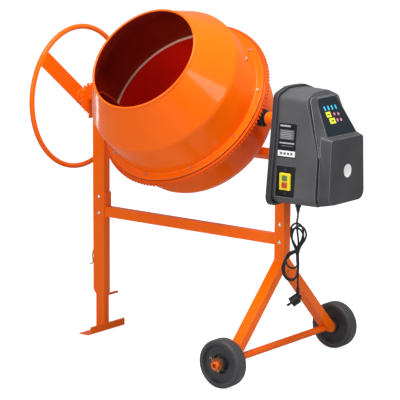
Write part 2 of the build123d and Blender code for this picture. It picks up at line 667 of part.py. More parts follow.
def hub_bearings():
    rings = []
    for z0 in (HUB_BOTTOM + 2, FLOOR_S - 15):
        rings.append(in_drum(rod_z(26, z0, z0 + 14) - rod_z(SPINDLE_R + SHAFT_CLEARANCE, z0 - 1, z0 + 15)))
    return group(rings)


def hub_cap():
    """The dome inside the drum that keeps concrete out of the bearings."""
    base = FLOOR_S + DRUM_SHEET
    cap = revolved([(0, base), (80, base), (80, base + 3), (46, base + 3), (38, base + 26), (0, base + 30)])
    cap -= rod_z(26, base - 1, base + 20)
    return in_drum(cap - hub_bolt_holes())


# ---------------------------------------------------------------- drive

def pinion_gear():
    """A spur pinion on the tilting axis, in mesh with the ring gear above it, with its spacing hub."""
    section = Polyline((-4.3, PINION_ROOT_R - 2), (-3.9, PINION_ROOT_R + 1), (-3.0, PINION_PITCH_R), (-1.3, PINION_TIP_R),
                       (1.3, PINION_TIP_R), (3.0, PINION_PITCH_R), (3.9, PINION_ROOT_R + 1), (4.3, PINION_ROOT_R - 2), close=True)
    tooth = extrude(facing_x(make_face(section), PINION_X), amount=PINION_LENGTH)
    gear = rod_x(PINION_ROOT_R, PINION_X, PINION_X + PINION_LENGTH, 0, 0)
    gear = gear.fuse(*[Rot(index * 360 / PINION_TEETH, 0, 0) * tooth for index in range(PINION_TEETH)])
    gear += rod_x(14, PINION_X + PINION_LENGTH, ARM_X - YOKE_TUBE / 2 - 0.4, 0, 0)
    return in_drum(gear - rod_x(SHAFT_R, PINION_X - 1, ARM_X, 0, 0))


def pinion_shaft():
    return rod_x(SHAFT_R, PINION_X - 3, BELT_X + BELT_WIDTH + 14)


def pulley(radius, bore, z):
    """A flat-belt pulley with two low flanges."""
    x0, x1 = BELT_X - 3, BELT_X + BELT_WIDTH + 3
    wheel = rod_x(radius, x0, x1, 0, z) + rod_x(radius + 4, x0, x0 + 2.4, 0, z) + rod_x(radius + 4, x1 - 2.4, x1, 0, z)
    return wheel - rod_x(bore, x0 - 1, x1 + 1, 0, z)


def big_pulley():
    wheel = pulley(BIG_PULLEY_R, SHAFT_R, TILT_Z)
    for index in range(5):
        hole = Rot(index * 72, 0, 0) * Pos(BELT_X, 0, 50) * Rot(0, 90, 0) * Cylinder(18, 60)
        wheel -= Pos(0, 0, TILT_Z) * hole
    x0 = BELT_X + BELT_WIDTH + 3
    return wheel + (rod_x(20, x0, x0 + 5) - rod_x(SHAFT_R, x0 - 1, x0 + 6))


def motor_z():
    return TILT_Z - MOTOR_DROP


def motor_pulley():
    return pulley(SMALL_PULLEY_R, 7, motor_z())


def rotor():
    """The motor's shaft with its core."""
    z = motor_z()
    return rod_x(7, BELT_X - 8, MOTOR_FRONT - 6, 0, z) + rod_x(32, MOTOR_BACK + 18, MOTOR_FRONT - 18, 0, z)


def drive_belt():
    """The belt round both pulleys, kept a hair clear of them."""
    inner = belt_loop(BELT_CLEARANCE, 40)
    outer = belt_loop(BELT_CLEARANCE + BELT_SHEET, BELT_WIDTH)
    return outer - inner


def belt_loop(extra, width):
    """The solid inside an open belt run of the given offset from the pulleys."""
    big, small = BIG_PULLEY_R + extra, SMALL_PULLEY_R + extra
    tilt = (big - small) / MOTOR_DROP
    rise = (1 - tilt ** 2) ** 0.5
    x0 = BELT_X + BELT_WIDTH / 2 - width / 2
    wedge = make_face(Polyline((big * rise, big * tilt), (small * rise, small * tilt - MOTOR_DROP),
                               (-small * rise, small * tilt - MOTOR_DROP), (-big * rise, big * tilt), close=True))
    plane = Plane(origin=(x0, 0, TILT_Z), x_dir=(0, 1, 0), z_dir=(1, 0, 0))
    loop = extrude(plane * wedge, amount=width)
    return loop + rod_x(big, x0, x0 + width) + rod_x(small, x0, x0 + width, 0, motor_z())


def motor():
    """The motor's ribbed case with a hollow for its rotor, and the bracket it is held by."""
    z = motor_z()
    case = rod_x(MOTOR_R - 5, MOTOR_BACK, MOTOR_FRONT, 0, z)
    rib = box(MOTOR_BACK + 15, MOTOR_FRONT - 15, -1.5, 1.5, 40, MOTOR_R)
    case = case.fuse(*[Pos(0, 0, z) * Rot(index * 15, 0, 0) * rib for index in range(24)])
    case += box(MOTOR_BACK, MOTOR_BACK + 5, -90, 90, 652, 773)
    case -= rod_x(34, MOTOR_BACK + 14, MOTOR_FRONT - 14, 0, z)
    case -= rod_x(7 + SHAFT_CLEARANCE, MOTOR_BACK - 1, MOTOR_FRONT - 5, 0, z)
    return case - [rod_x(BOLT_R, MOTOR_BACK - 1, MOTOR_BACK + 6, y, height) for y, height in standoff_places()]


def capacitor():
    """The motor's run capacitor, clipped beside the motor."""
    return rod_z(19, CASE_BOTTOM + 8, CASE_BOTTOM + 88, 560, 88)


def plate_bolt_heights():
    return (680.0, 800.0)


def motor_plate():
    """The steel plate on the right post that carries the motor and the housing."""
    x0 = POST_X + RIGHT_WIDTH / 2
    x1 = x0 + PLATE_SHEET
    plate = box(x0, x1, -92, 92, 645, 950) - rod_x(TILT_Z - RIGHT_TOP + 1, x0 - 1, x1 + 1)
    holes = [(0, height) for height in plate_bolt_heights()] + standoff_places()
    return plate - [rod_x(BOLT_R, x0 - 1, x1 + 1, y, z) for y, z in holes]


def standoff_places():
    return [(y, z) for y in (-78, 78) for z in (665, 760)]


# ---------------------------------------------------------------- housing

def front_outline(half_bottom, half_top, bottom, shoulder, crest, corner):
    """A trapezoid seen from the front, with an arched top and rounded corners."""
    outline = Polyline((-half_bottom, bottom), (half_bottom, bottom), (half_top, shoulder), (half_top * 0.45, crest - 2),
                       (0, crest), (-half_top * 0.45, crest - 2), (-half_top, shoulder), close=True)
    face = make_face(outline)
    face = fillet([v for v in face.vertices() if v.Y < bottom + 1], corner)
    return fillet([v for v in face.vertices() if abs(v.Y - shoulder) < 0.01], corner * 0.8)


def facing_x(face, x):
    """Stand a flat face up so that it faces +X, its sides along Y and Z."""
    return Plane(origin=(x, 0, 0), x_dir=(0, 1, 0), z_dir=(1, 0, 0)) * face


def case_side(inset):
    """The side view of the main cover: upright below, sloping back towards the top."""
    front, slope = CASE_FRONT - inset, SLOPE_TOP - inset
    outline = Polyline((CASE_BACK, 500), (front, 500), (front, SLOPE_FOOT_Z), (slope, SLOPE_TOP_Z),
                       (slope - 33, 1100), (CASE_BACK, 1100), close=True)
    return extrude(Plane.XZ * make_face(outline), amount=200, both=True)


def back_cover():
    """The dished back of the housing with its broad rim."""
    rim_face = facing_x(front_outline(158, 113, 611, 996, 1018, 32), CASE_BACK)
    inside = facing_x(front_outline(150, 106, 619, 991, 1013, 28), CASE_BACK + CASE_SHEET)
    cover = extrude(rim_face, amount=CASE_RIM) - extrude(inside, amount=CASE_RIM)
    cover -= rod_x(RIGHT_TRUNNION_R + 3, CASE_BACK - 1, CASE_BACK + CASE_SHEET + 1)
    for y, z in standoff_places():
        cover -= rod_x(BOLT_R, CASE_BACK - 1, CASE_BACK + CASE_SHEET + 1, y, z)
    return cover


def main_cover():
    """The deep middle shell of the housing, open at the back and behind the front shell."""
    shell = (cover_block(0) & case_side(0)) - (cover_block(CASE_SHEET) & case_side(CASE_SHEET))
    shell -= front_window() + rod_z(8, CASE_BOTTOM - 5, CASE_BOTTOM + 10, GLAND_X, GLAND_Y)
    x0, x1, z0, z1 = RECESS
    return shell - box(x0, x1, -145, -105, z0, z1)


def cover_block(inset):
    """The main cover's outside, which narrows towards the front, or its inside when made smaller."""
    sections = []
    for x, draft in ((CASE_BACK + CASE_SHEET, 0), (CASE_FRONT + 20, CASE_DRAFT)):
        less = inset + draft
        face = front_outline(134 - less, 103 - less, CASE_BOTTOM + inset, CASE_SHOULDER - less, CASE_TOP - less, 26 - inset)
        sections.append(facing_x(face, x - (CASE_SHEET if inset and not draft else 0)))
    return loft(sections, ruled=True)


def front_window():
    """The opening between the main cover and the front cover."""
    return box(560, CASE_FRONT + 12, -80, 80, 655, 850)


def side_y(z):
    """How far the main cover's side wall stands from the middle at a height, at its back edge."""
    return 134 + (103 - 134) * (z - CASE_BOTTOM) / (CASE_SHOULDER - CASE_BOTTOM)


def switch_panel():
    """The flat panel set into the side wall, which carries the switch."""
    y = switch_front()
    x0, x1, z0, z1 = RECESS
    x0, x1, z0, z1 = x0 + 0.3, x1 - 0.3, z0 + 0.3, z1 - 0.3
    panel = box(x0, x1, y, y + 3, z0, z1)
    panel += box(x0, x0 + 2.7, y - 2.5, y, z0, z1) + box(x1 - 2.7, x1, y - 2.5, y, z0, z1)
    panel -= box(SWITCH_X - 17, SWITCH_X + 17, y - 1, y + 4, SWITCH_Z - 24, SWITCH_Z + 24)
    return panel - [rod_y(2, y - 1, y + 4, x, z) for x, z in switch_screw_places()]


def switch_screw_places():
    return [(SWITCH_X, SWITCH_Z + 41), (SWITCH_X, SWITCH_Z - 41)]


def switch_front():
    return -side_y(SWITCH_Z) + 6


def switch_box():
    """The switch body with a raised collar round two push buttons."""
    y = switch_front()
    body = box(SWITCH_X - 17, SWITCH_X + 17, y, y + 24, SWITCH_Z - 24, SWITCH_Z + 24)
    body += box(SWITCH_X - 21.5, SWITCH_X + 21.5, y - 9, y, SWITCH_Z - 29, SWITCH_Z + 29)
    for offset in (-12, 12):
        low, high = SWITCH_Z + offset - 9.5, SWITCH_Z + offset + 9.5
        body -= box(SWITCH_X - 11, SWITCH_X + 11, y - 10, y + 8, low, high)
    return body


def button(offset, proud):
    """A push button in the switch, with room behind it for its travel."""
    y = switch_front()
    return box(SWITCH_X - 10.5, SWITCH_X + 10.5, y - 9 - proud, y + 3.5, SWITCH_Z + offset - 9, SWITCH_Z + offset + 9)


def front_cover():
    """The raised front shell: a sloping face above a deep box with rounded corners, on a narrower neck."""
    shell = front_block(0) - front_block(CASE_SHEET)
    back = front_block(0) & front_slab(GROOVE, GROOVE + 4)
    neck = Pos(-10, 0, 0) * front_block(9) & front_slab(0, GROOVE + 2)
    return shell + back + neck - front_window()


def front_slab(start, end):
    """A layer that follows the main cover's front, between two distances from it."""
    front, slope, bend, top = CASE_FRONT, SLOPE_TOP, SLOPE_FOOT_Z, SLOPE_TOP_Z
    outline = Polyline((front + start, 500), (front + end, 500), (front + end, bend), (slope + end, top),
                       (slope + start, top), (front + start, bend), close=True)
    return extrude(Plane.XZ * make_face(outline), amount=200, both=True)


def front_block(inset):
    """The front shell's outside, or its inside when made smaller by its wall."""
    reach = 1 if inset else 0
    upper_back = [(587 - inset - reach, 990 - inset), (650 - inset - reach, 790)]
    upper_front = [(LABEL_TOP[0] - inset, LABEL_TOP[1] - inset), (LABEL_FOOT[0] - inset, LABEL_FOOT[1])]
    upper = quad_loft(upper_back, (86 - inset, 118 - inset), upper_front, (62 - inset, 92 - inset), 20 - inset, 0)
    lower_back = [(650 - inset - reach, 864 - inset), (650 - inset - reach, 622 + inset)]
    lower_front = [(BOX_FRONT - inset, 854 - inset), (BOX_FRONT - inset, 629 + inset)]
    halves = (109 - inset, 121 - inset), (97 - inset, 109 - inset)
    return upper + quad_loft(lower_back, halves[0], lower_front, halves[1], 11 - inset, 32 - inset)


def quad_loft(back, back_halves, front, front_halves, top_round, bottom_round):
    """A block between two trapezoids, each given by its top and bottom (x, z) and half widths."""
    sections = []
    for corners, halves in ((back, back_halves), (front, front_halves)):
        face = trapezoid(corners, halves)
        face = fillet(face.vertices().sort_by(Axis.Z)[-2:], top_round)
        if bottom_round:
            face = fillet(face.vertices().sort_by(Axis.Z)[:2], bottom_round)
        sections.append(face)
    return loft(sections, ruled=True)


def trapezoid(corners, halves):
    """An upright or leaning face, given by its top and bottom (x, z) and half widths."""
    (x0, z0), (x1, z1) = corners
    points = [(x0, -halves[0], z0), (x0, halves[0], z0), (x1, halves[1], z1), (x1, -halves[1], z1)]
    return make_face(Polyline(*points, close=True))


def label_panel():
    """The glossy label sheet on the sloping face."""
    top, bottom = Vector(LABEL_TOP[0], 0, LABEL_TOP[1]), Vector(LABEL_FOOT[0], 0, LABEL_FOOT[1])
    run = (bottom - top).normalized()
    out = Vector(-run.Z, 0, run.X)
    sections = []
    for lift in (0.0, 1.2):
        a, b = top + run * 4 + out * lift, bottom - run * 4 + out * lift
        face = trapezoid([(a.X, a.Z), (b.X, b.Z)], (57, 86))
        face = fillet(face.vertices().sort_by(Axis.Z)[-2:], 17)
        sections.append(fillet(face.vertices().sort_by(Axis.Z)[:2], 6))
    return loft(sections, ruled=True)


def cover_screws():
    """Screws through the rim of the back cover and through the switch panel."""
    screws = []
    for y, z in ((-142, 650), (142, 650), (-127, 800), (127, 800), (-109, 940), (109, 940)):
        screws.append(rod_x(5, CASE_BACK - 2.5, CASE_BACK, y, z))
    y = switch_front()
    for x, z in switch_screw_places():
        screws.append(rod_y(2, y - 0.5, y + 12, x, z) + rod_y(4, y - 2.5, y, x, z))
    return group(screws)


# ---------------------------------------------------------------- mains lead

def cord_gland():
    """The threaded gland under the housing, with a tapered sleeve for the lead."""
    hex_bottom = CASE_BOTTOM - 8
    thread = rod_z(8, CASE_BOTTOM - 1, CASE_BOTTOM + 12, GLAND_X, GLAND_Y)
    body = hexagon_z(20, hex_bottom, CASE_BOTTOM, GLAND_X, GLAND_Y)
    sleeve = revolved([(0, GLAND_MOUTH), (4.6, GLAND_MOUTH), (8, hex_bottom), (0, hex_bottom)])
    return thread + body + Pos(GLAND_X, GLAND_Y, 0) * sleeve


def route_points(offsets):
    """A route's points, placed from the gland's mouth."""
    return [(GLAND_X + x, GLAND_Y + y, GLAND_MOUTH + z) for x, y, z in offsets]


def cord_tube(name, offsets):
    """A stretch of lead: straight runs joined by arcs as large as the runs allow."""
    points = [Vector(*point) for point in route_points(offsets)]
    radii = []
    for before, here, after in zip(points, points[1:], points[2:]):
        turn = radians((here - before).get_angle(after - here))
        shorter = min((here - before).length, (after - here).length)
        radii.append(0.45 * shorter / tan(turn / 2))
    route = FilletPolyline(*points, radius=radii)
    tube = sweep(Plane(route @ 0, z_dir=route % 0) * Circle(CORD_R), path=route)
    exact = pi * CORD_R ** 2 * route.length
    print(name, "radii", [round(r) for r in radii], "length", round(route.length))
    print(name, "volume over section times length", round(tube.volume / exact, 4))
    return tube


def cord_lead():
    return cord_tube("cord_lead", LEAD_ROUTE)


def cord_tail():
    return cord_tube("cord_tail", TAIL_ROUTE)


def cord_hank():
    """The outer shape of the wound lead: an upper bundle, a bound waist and a lower bundle."""
    start = route_points([LEAD_ROUTE[-1]])[0]
    end = route_points([TAIL_ROUTE[0]])[0]
    top, bottom = start[2], end[2]
    y = GLAND_Y
    half = HANK_DEPTH / 2
    outline = Polyline((start[0] - 18, top), (start[0] + 16, top), (598, top - 26), (598, top - 80), (584, 449), (578, 430),
                       (579, 380), (end[0] + 14, bottom), (end[0] - 32, bottom), (494, 372), (488, 398), (502, 428), (540, 452),
                       (528, 480), (529, top - 26), close=True)
    face = Plane(origin=(0, y + half, 0), x_dir=(1, 0, 0), z_dir=(0, -1, 0)) * make_face(outline)
    return extrude(face, amount=HANK_DEPTH)


def plug():
    """An angled two-pin plug hanging from the lead, its pins pointing down and to the left."""
    x, y, z = route_points([TAIL_ROUTE[-1]])[0]
    relief = Pos(x, y, 0) * revolved([(0, z), (4.6, z), (7.5, z - 32), (0, z - 32)])
    neck = Pos(x - 2, y, z - 37) * Box(20, 22, 16)
    place = Plane(origin=(x - 4, y - 3, z - 43), z_dir=PLUG_AXIS)
    body = place * Pos(0, 0, 6) * Cylinder(18, 30)
    pins = [place * Pos(0, offset, 30) * Cylinder(2.4, 19) for offset in (-9.5, 9.5)]
    return relief + neck + body + pins


# ---------------------------------------------------------------- nodes

nodes = {
    "left_post": left_post(),
    "left_bush": left_bush(),
    "right_post": right_post(),
    "cross_beam": cross_beam(),
    "beam_brackets": group([beam_bracket(-1, LEFT_WIDTH, LEFT_DEPTH), beam_bracket(1, RIGHT_WIDTH, RIGHT_WIDTH)]),
    "frame_bolts": frame_bolts(),
    "lower_leg": lower_leg(),
    "foot": foot(),
    "leg_pin": leg_pin(),
    "wire_clip": wire_clip(),
    "front_leg": a_leg(-1),
    "rear_leg": a_leg(1),
    "axle": axle(),
    "axle_fasteners": axle_fasteners(),
    "rim_front": rim(-1),
    "rim_rear": rim(1),
    "tyre_front": tyre(-1),
    "tyre_rear": tyre(1),
    "yoke_bar": yoke_bar(),
    "yoke_arm_left": yoke_arm(-1),
    "yoke_arm_right": yoke_arm(1),
    "drum_spindle": drum_spindle(),
    "left_trunnion": left_trunnion(),
    "right_trunnion": right_trunnion(),
    "pinion_bearings": pinion_bearings(),
    "handwheel": handwheel(),
    "handwheel_bolts": handwheel_bolts(),
    "lock_disc": lock_disc(),
    "lock_lever": lock_lever(),
    "drum_cone": drum_cone(),
    "drum_bowl": drum_bowl(),
    "ring_gear": ring_gear(),
    "drum_bolts": drum_bolts(),
    "mixing_blades": mixing_blades(),
    "drum_hub": drum_hub(),
    "hub_bearings": hub_bearings(),
    "hub_cap": hub_cap(),
    "pinion_gear": pinion_gear(),
    "pinion_shaft": pinion_shaft(),
    "big_pulley": big_pulley(),
    "drive_belt": drive_belt(),
    "motor": motor(),
    "rotor": rotor(),
    "motor_pulley": motor_pulley(),
    "capacitor": capacitor(),
    "motor_plate": motor_plate(),
    "back_cover": back_cover(),
    "main_cover": main_cover(),
    "front_cover": front_cover(),
    "label_panel": label_panel(),
    "switch_panel": switch_panel(),
    "switch_box": switch_box(),
    "start_button": button(12, 1.0),
    "stop_button": button(-12, 3.0),
    "cover_screws": cover_screws(),
    "cord_gland": cord_gland(),
    "cord_lead": cord_lead(),
    "cord_hank": cord_hank(),
    "cord_tail": cord_tail(),
    "plug": plug(),
}

CORD_NODES = ("cord_gland", "cord_lead", "cord_hank", "cord_tail", "plug")

machine = [shape.bounding_box() for name, shape in nodes.items() if name not in CORD_NODES]
centre_x = (min(b.min.X for b in machine) + max(b.max.X for b in machine)) / 2
centre_y = (min(b.min.Y for b in machine) + max(b.max.Y for b in machine)) / 2
print("centre of the footprint", round(centre_x, 3), round(centre_y, 3))
print("lowest point", round(min(b.min.Z for b in machine), 3))

for name, shape in nodes.items():
    export_step(Pos(-centre_x, -centre_y, 0) * shape, f"parts/{name}.step")
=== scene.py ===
import json
import math

import bmesh
import bpy
from mathutils import Matrix, Vector


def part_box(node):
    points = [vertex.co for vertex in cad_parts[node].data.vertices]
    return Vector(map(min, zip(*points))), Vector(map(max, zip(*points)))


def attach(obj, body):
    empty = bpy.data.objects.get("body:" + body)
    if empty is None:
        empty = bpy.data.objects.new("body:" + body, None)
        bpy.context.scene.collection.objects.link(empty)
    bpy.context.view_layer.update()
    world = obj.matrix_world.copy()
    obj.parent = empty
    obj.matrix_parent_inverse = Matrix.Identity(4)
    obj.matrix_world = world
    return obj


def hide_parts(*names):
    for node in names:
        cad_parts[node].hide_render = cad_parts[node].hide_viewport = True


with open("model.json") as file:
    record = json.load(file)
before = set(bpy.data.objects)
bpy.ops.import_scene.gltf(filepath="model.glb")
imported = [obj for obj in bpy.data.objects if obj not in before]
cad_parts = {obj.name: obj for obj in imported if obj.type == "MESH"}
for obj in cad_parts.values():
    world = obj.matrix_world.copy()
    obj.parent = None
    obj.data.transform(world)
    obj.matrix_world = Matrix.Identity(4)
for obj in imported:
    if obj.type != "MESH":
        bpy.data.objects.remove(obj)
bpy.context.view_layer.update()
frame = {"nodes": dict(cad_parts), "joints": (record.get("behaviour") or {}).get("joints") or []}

MM = 0.001
NODES = frame["nodes"]
JOINTS = {joint["name"]: joint for joint in frame["joints"]}

# The tilting axis crosses the drum's axis at PIVOT, midway between the posts.
PIVOT = Vector(JOINTS["yoke_tilt"]["pos_m"])
DRUM_AXIS = Vector(JOINTS["drum_spin"]["axis"]).normalized()
DRUM_AXIS *= math.copysign(1, DRUM_AXIS.z)
DRUM_SIDE = Vector((0, DRUM_AXIS.z, -DRUM_AXIS.y))
DRUM_AXES = Matrix(((1, 0, 0), DRUM_SIDE, DRUM_AXIS)).transposed()
DRUM_PLACE = Matrix.Translation(PIVOT) @ DRUM_AXES.to_4x4()


def at(x, y, z):
    """A point from millimetres: x and y from the pivot, z from the floor."""
    return Vector((PIVOT.x + x * MM, PIVOT.y + y * MM, z * MM))


# ---------------------------------------------------------------- camera, light and floor

TARGET = at(51.6, 0, 559.6)
CAMERA_AZIMUTH = 37.73
CAMERA_ELEVATION = 10.84
CAMERA_ROLL = 0.37
CAMERA_DISTANCE = 7.1527
CAMERA_LENS = 177.1
SENSOR_WIDTH = 36.0
VIEW_END = 60.0
FLOOR_REACH = 30.0
SURROUND_SEEN = 1.0
SURROUND_LIGHT = 0.42


def view_axes(azimuth, elevation):
    """The right, up and back directions of a view of the object, from degrees."""
    a, e = math.radians(azimuth), math.radians(elevation)
    right = Vector((math.cos(a), math.sin(a), 0))
    back = Vector((math.sin(a) * math.cos(e), -math.cos(a) * math.cos(e), math.sin(e)))
    return right, back.cross(right), back


def add_camera():
    """The camera, looking at TARGET."""
    right, up, back = view_axes(CAMERA_AZIMUTH, CAMERA_ELEVATION)
    turn = Matrix.Rotation(math.radians(CAMERA_ROLL), 3, back)
    camera = bpy.data.objects.new("camera", bpy.data.cameras.new("camera"))
    bpy.context.scene.collection.objects.link(camera)
    axes = Matrix((turn @ right, turn @ up, back)).transposed()
    camera.matrix_world = Matrix.Translation(TARGET + back * CAMERA_DISTANCE) @ axes.to_4x4()
    camera.data.lens = CAMERA_LENS
    camera.data.sensor_width = SENSOR_WIDTH
    camera.data.clip_end = VIEW_END
    bpy.context.scene.camera = camera


def area_light(name, azimuth, elevation, distance, size, radiance):
    """A soft box that faces the machine from a direction given as for a view."""
    _, _, back = view_axes(azimuth, elevation)
    lamp = bpy.data.lights.new(name, "AREA")
    lamp.shape = "RECTANGLE"
    lamp.size, lamp.size_y = size
    lamp.energy = radiance * math.pi * size[0] * size[1]
    light = bpy.data.objects.new(name, lamp)
    bpy.context.scene.collection.objects.link(light)
    light.location = TARGET + back * distance
    light.rotation_euler = back.to_track_quat("Z", "Y").to_euler()


def add_studio():
    """A white surround that lights softly, with a lamp above and soft boxes on three sides."""
    world = bpy.data.worlds.new("studio")
    world.use_nodes = True
    tree = world.node_tree
    seen = tree.nodes["Background"]
    seen.inputs["Color"].default_value = (1, 1, 1, 1)
    seen.inputs["Strength"].default_value = SURROUND_SEEN
    fill = tree.nodes.new("ShaderNodeBackground")
    fill.inputs["Color"].default_value = (1, 1, 1, 1)
    fill.inputs["Strength"].default_value = SURROUND_LIGHT
    path = tree.nodes.new("ShaderNodeLightPath")
    chosen = tree.nodes.new("ShaderNodeMixShader")
    tree.links.new(path.outputs["Is Camera Ray"], chosen.inputs[0])
    tree.links.new(fill.outputs[0], chosen.inputs[1])
    tree.links.new(seen.outputs[0], chosen.inputs[2])
    tree.links.new(chosen.outputs[0], tree.nodes["World Output"].inputs["Surface"])
    bpy.context.scene.world = world
    area_light("top_light", 60, 72, 3.6, (1.8, 1.8), 15)
    area_light("front_light", 8, 20, 4.0, (2.2, 1.6), 5.5)
    area_light("right_box", 83, 22, 3.4, (1.0, 0.9), 7.0)
    area_light("left_strip", -103, 4, 3.2, (0.35, 1.5), 7.0)
    signs = ((-1, -1), (1, -1), (1, 1), (-1, 1))
    corners = [(x * FLOOR_REACH, y * FLOOR_REACH, 0) for x, y in signs]
    floor = mesh_object("floor", corners, [(0, 1, 2, 3)])
    floor.data.materials.append(FLOOR)
    bpy.context.scene.view_settings.view_transform = "Standard"


# ---------------------------------------------------------------- material helpers

EDGE_SAMPLES = 4
EDGE_RADIUS = 0.0022

def new_material(name, colour, roughness, metallic=0.0, **inputs):
    """A Principled material. Extra keywords name its sockets, with _ for a space."""
    made = bpy.data.materials.new(name)
    made.use_nodes = True
    shader = made.node_tree.nodes["Principled BSDF"]
    shader.inputs["Base Color"].default_value = (*colour, 1)
    shader.inputs["Roughness"].default_value = roughness
    shader.inputs["Metallic"].default_value = metallic
    for key, value in inputs.items():
        shader.inputs[key.replace("_", " ")].default_value = value
    return made


def node(made, kind, **settings):
    """A new shader node. A keyword with a capital letter sets a socket, any other a property."""
    new = made.node_tree.nodes.new(kind)
    for key, value in settings.items():
        if key[0].isupper():
            new.inputs[key.replace("_", " ")].default_value = value
        else:
            setattr(new, key, value)
    return new


def link(made, source, target):
    """Joins an output to a socket of the same material."""
    made.node_tree.links.new(source, target)


def noise(made, scale, detail=3.0, stretch=(1, 1, 1)):
    """Soft noise over the object, in waves of about 1/scale metres."""
    coordinates = node(made, "ShaderNodeTexCoord")
    mapping = node(made, "ShaderNodeMapping", Scale=stretch)
    texture = node(made, "ShaderNodeTexNoise", Scale=scale, Detail=detail)
    link(made, coordinates.outputs["Object"], mapping.inputs["Vector"])
    link(made, mapping.outputs["Vector"], texture.inputs["Vector"])
    return texture.outputs["Fac"]


def ramp(made, value, stops):
    """A colour ramp from (position, grey) pairs."""
    chosen = node(made, "ShaderNodeValToRGB")
    for element, (position, grey) in zip(chosen.color_ramp.elements, stops):
        element.position = position
        element.color = (grey, grey, grey, 1)
    link(made, value, chosen.inputs["Fac"])
    return chosen.outputs["Color"]


def mix(made, factor, first, second):
    """Mixes two colours; each is a colour or a node's output."""
    mixer = node(made, "ShaderNodeMix", data_type="RGBA")
    for socket, value in ((mixer.inputs[6], first), (mixer.inputs[7], second)):
        if isinstance(value, tuple):
            socket.default_value = (*value, 1)
        else:
            link(made, value, socket)
    link(made, factor, mixer.inputs[0])
    return mixer.outputs[2]


def add_bump(made, height, strength, distance):
    """Fine relief from a height, in metres of depth."""
    bump = node(made, "ShaderNodeBump", Strength=strength, Distance=distance)
    link(made, height, bump.inputs["Height"])
    into(made, "Normal", bump.outputs["Normal"])


def into(made, socket, source):
    """Joins an output to a socket of the material's shader."""
    link(made, source, made.node_tree.nodes["Principled BSDF"].inputs[socket])


def drift(made, first, second, scale, detail, low=0.3, high=0.7):
    """The first colour, drifting to the second in soft patches."""
    return mix(made, ramp(made, noise(made, scale, detail), [(low, 0.0), (high, 1.0)]), first, second)


def dulled(made, scale, detail, least, most, high=0.7, stretch=(1, 1, 1)):
    """Roughness that wanders from least to most."""
    into(made, "Roughness", ramp(made, noise(made, scale, detail, stretch), [(0.3, least), (high, most)]))


def edges(made):
    """Where the surface turns an edge: the mask for paler edges, which paint a highlight there and, on
    paint, wear too.
    """
    turned = node(made, "ShaderNodeBevel", samples=EDGE_SAMPLES, Radius=EDGE_RADIUS)
    geometry = node(made, "ShaderNodeNewGeometry")
    agree = node(made, "ShaderNodeVectorMath", operation="DOT_PRODUCT")
    link(made, turned.outputs["Normal"], agree.inputs[0])
    link(made, geometry.outputs["True Normal"], agree.inputs[1])
    return ramp(made, agree.outputs["Value"], [(0.92, 1.0), (0.99, 0.0)])


# ---------------------------------------------------------------- materials

def paint(name, colour, shade, worn_and_lit_edge):
    """Glossy powder coat: orange peel, drifts in tone, dust in its gloss, and paler edges that are partly
    wear and partly painted highlight.
    """
    gloss = {"Specular_IOR_Level": 0.05, "Coat_Weight": 0.3, "Coat_Roughness": 0.08}
    made = new_material(name, colour, 0.3, **gloss)
    coat = drift(made, colour, shade, 3.5, 4.0, 0.35)
    # Paler orange at the edges: partly wear, partly a painted highlight.
    into(made, "Base Color", mix(made, edges(made), coat, worn_and_lit_edge))
    dulled(made, 24.0, 5.0, 0.28, 0.42, 0.75)
    add_bump(made, noise(made, 380.0, 2.0), 0.05, 0.0003)
    return made


def moulded(name, colour, roughness, grain=900.0, strength=0.25, lift=1.35, highlight_gain=1.6, **inputs):
    """Moulded plastic or rubber with a fine grain, its edges made paler as a painted highlight."""
    made = new_material(name, colour, roughness, Specular_IOR_Level=0.22, **inputs)
    lighter = tuple(min(1.0, c * lift) for c in colour)
    edge_highlight = tuple(min(1.0, c * highlight_gain + 0.02) for c in colour)
    body = drift(made, colour, lighter, 9.0, 4.0, high=0.75)
    # The paler colour along the edges is a painted highlight.
    into(made, "Base Color", mix(made, edges(made), body, edge_highlight))
    dulled(made, 40.0, 4.0, roughness - 0.05, roughness + 0.07)
    add_bump(made, noise(made, grain, 2.0), strength, 0.0003)
    return made


def metal(name, colour, roughness, stretch=(1, 1, 1)):
    """Plain or plated metal with fine tool marks and dull patches."""
    made = new_material(name, colour, roughness, metallic=1.0)
    darker = tuple(c * 0.7 for c in colour)
    into(made, "Base Color", drift(made, colour, darker, 60.0, 5.0, 0.35))
    dulled(made, 90.0, 4.0, roughness - 0.08, roughness + 0.1, stretch=stretch)
    add_bump(made, noise(made, 700.0, 2.0, stretch), 0.15, 0.0002)
    return made


def painted_shade_inside(name, deep, brown):
    """The drum's inside: the orange paint darkened to deep red as painted shade, duller in patches."""
    made = new_material(name, deep, 0.5, Specular_IOR_Level=0.25)
    into(made, "Base Color", drift(made, deep, brown, 7.0, 5.0))
    dulled(made, 30.0, 4.0, 0.38, 0.6)
    add_bump(made, noise(made, 300.0, 3.0), 0.12, 0.0005)
    return made


def printed(name, colour):
    """Screen-printed ink or label film; the drum's seam also takes it for a painted highlight and a
    painted shade.
    """
    made = new_material(name, colour, 0.35, Specular_IOR_Level=0.15)
    darker = tuple(c * 0.85 for c in colour)
    into(made, "Base Color", drift(made, colour, darker, 60.0, 3.0))
    dulled(made, 80.0, 3.0, 0.3, 0.42)
    add_bump(made, noise(made, 900.0, 2.0), 0.05, 0.0001)
    return made


def floor_material():
    """A pale matt floor that looks white to the camera and keeps a soft shadow."""
    made = new_material("floor", (0.5, 0.5, 0.5), 0.8, Emission_Color=(0.8, 0.8, 0.8, 1))
    path = node(made, "ShaderNodeLightPath")
    into(made, "Emission Strength", path.outputs["Is Camera Ray"])
    return made


